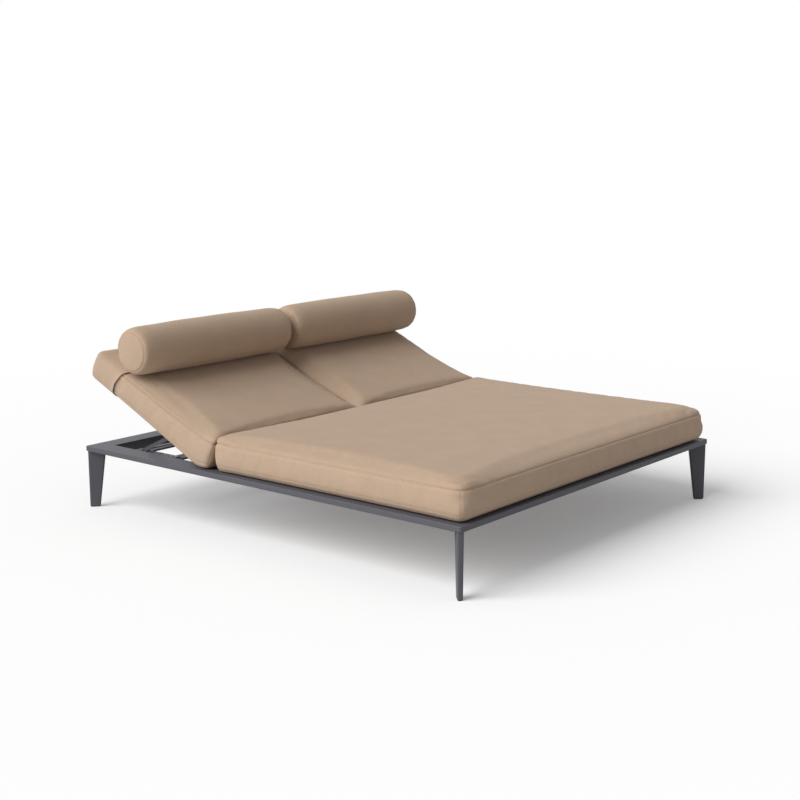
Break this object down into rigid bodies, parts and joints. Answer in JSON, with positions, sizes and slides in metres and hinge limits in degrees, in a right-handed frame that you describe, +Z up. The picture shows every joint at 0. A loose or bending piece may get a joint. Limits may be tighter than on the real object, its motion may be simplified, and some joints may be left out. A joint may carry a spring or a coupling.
{
  "type": "double chaise lounger",
  "caption": "Low double lounger: metal frame on blade legs, full-width seat cushion, and two tilting backrests on prop stays, each with a cushion and a hooded bolster.",
  "frame": {"origin": "on the floor, at the centre of the whole object seen from above", "axes": "+Z up; +Y along the lounger towards the head end; +X across it, to the right for a person who lies on it face up"},
  "size_m": [1.8, 2.03, 0.8059],
  "materials": {
    "frame_coat": "satin powder coat on aluminium",
    "key_aluminium": "mill finish",
    "stainless": "turned stainless steel",
    "bush_plastic": "moulded nylon",
    "glide_plastic": "moulded nylon",
    "cushion_fabric": "plain-woven outdoor fabric",
    "hood_fabric": "plain-woven outdoor fabric",
    "bolster_fabric": "plain-woven outdoor fabric"
  },
  "bodies": {
    "frame": {"corner_keys": "key_aluminium", "foot_rail": "frame_coat", "head_beam": "frame_coat", "head_rail": "frame_coat", "head_slat_1": "frame_coat", "head_slat_2": "frame_coat", "hinge_bracket_left_inner": "frame_coat", "hinge_bracket_left_outer": "frame_coat", "hinge_bracket_right_inner": "frame_coat", "hinge_bracket_right_outer": "frame_coat", "hinge_pins_left": "stainless", "hinge_pins_right": "stainless", "hinge_rail": "frame_coat", "leg_foot_left": "frame_coat", "leg_foot_right": "frame_coat", "leg_glides": "glide_plastic", "leg_head_left": "frame_coat", "leg_head_right": "frame_coat", "rack_left_inner": "frame_coat", "rack_left_outer": "frame_coat", "rack_right_inner": "frame_coat", "rack_right_outer": "frame_coat", "seat_beam": "frame_coat", "seat_cushion": "cushion_fabric", "seat_slat_1": "frame_coat", "seat_slat_2": "frame_coat", "seat_slat_3": "frame_coat", "seat_slat_4": "frame_coat", "seat_slat_5": "frame_coat", "seat_slat_6": "frame_coat", "side_rail_left": "frame_coat", "side_rail_right": "frame_coat", "slat_ledges": "frame_coat"},
    "backrest_left": {"back_cushion_left": "cushion_fabric", "back_foot_tube_left": "frame_coat", "back_stile_left_inner": "frame_coat", "back_stile_left_outer": "frame_coat", "back_top_tube_left": "frame_coat", "deck_slats_left": "frame_coat", "hinge_bushes_left": "bush_plastic", "prop_pins_left": "stainless", "prop_spacers_left": "bush_plastic"},
    "backrest_right": {"back_cushion_right": "cushion_fabric", "back_foot_tube_right": "frame_coat", "back_stile_right_inner": "frame_coat", "back_stile_right_outer": "frame_coat", "back_top_tube_right": "frame_coat", "deck_slats_right": "frame_coat", "hinge_bushes_right": "bush_plastic", "prop_pins_right": "stainless", "prop_spacers_right": "bush_plastic"},
    "prop_left": {"prop_bars_left": "frame_coat", "prop_rod_left": "stainless"},
    "prop_right": {"prop_bars_right": "frame_coat", "prop_rod_right": "stainless"},
    "bolster_left": {"bolster_hood_left": "hood_fabric", "bolster_left": "bolster_fabric"},
    "bolster_right": {"bolster_hood_right": "hood_fabric", "bolster_right": "bolster_fabric"}
  },
  "joints": [
    {"name": "backrest_left_tilt", "type": "hinge", "parent": "frame", "child": "backrest_left", "pos_m": [0, 0.35, 0.26], "axis": [1, 0, 0], "range_deg": [-25.5, 19.5]},
    {"name": "backrest_right_tilt", "type": "hinge", "parent": "frame", "child": "backrest_right", "pos_m": [0, 0.35, 0.26], "axis": [1, 0, 0], "range_deg": [-25.5, 19.5]},
    {"name": "prop_left_swing", "type": "hinge", "parent": "backrest_left", "child": "prop_left", "pos_m": [0, 0.56662, 0.36332], "axis": [1, 0, 0], "range_deg": [-39, 51]},
    {"name": "prop_right_swing", "type": "hinge", "parent": "backrest_right", "child": "prop_right", "pos_m": [0, 0.56662, 0.36332], "axis": [1, 0, 0], "range_deg": [-39, 51]},
    {"name": "bolster_left_lift_off", "type": "slide", "parent": "backrest_left", "child": "bolster_left", "axis": [0, 0.9026, 0.4305], "range_m": [0, 0.25]},
    {"name": "bolster_right_lift_off", "type": "slide", "parent": "backrest_right", "child": "bolster_right", "axis": [0, 0.9026, 0.4305], "range_m": [0, 0.25]}
  ],
  "couplings": [
    {"joint": "prop_left_swing", "follows": "backrest_left_tilt", "ratio": -2},
    {"joint": "prop_right_swing", "follows": "backrest_right_tilt", "ratio": -2}
  ]
}
